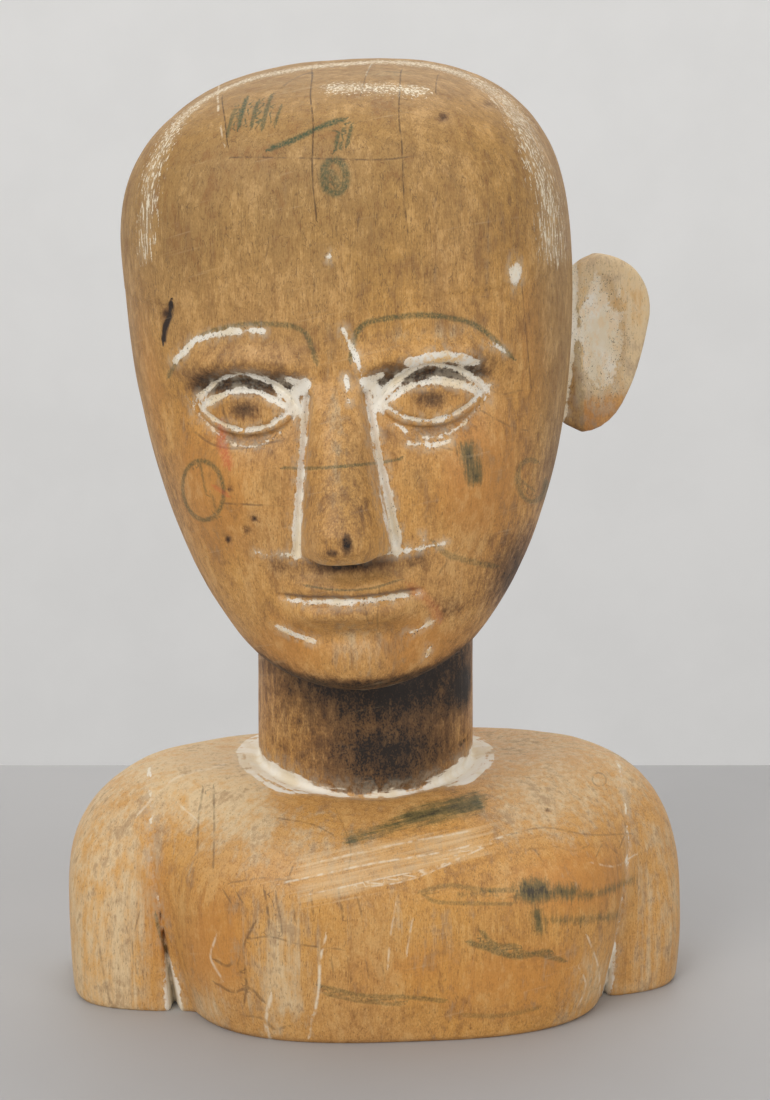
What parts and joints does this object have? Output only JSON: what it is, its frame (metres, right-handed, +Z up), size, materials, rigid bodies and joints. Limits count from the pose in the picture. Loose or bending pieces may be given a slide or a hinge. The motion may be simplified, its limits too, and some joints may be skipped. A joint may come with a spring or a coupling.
{
  "type": "carved wooden bust",
  "caption": "Life-size bust carved from one block of pine: broad head turned a little, wedge nose, leaf-shaped ears, column neck, rounded shoulders on a flat underside.",
  "frame": {"origin": "on the surface the bust stands on, under the middle of its bounding box", "axes": "+Z up, the bust faces -Y, +X to the right of someone who looks at its face"},
  "size_m": [0.24, 0.213, 0.3592],
  "materials": {
    "carved_wood": "stripped and rubbed pine, satin on the high places, white paint residue in the carving"
  },
  "bodies": {
    "root": {"bust": "carved_wood"}
  },
  "joints": []
}
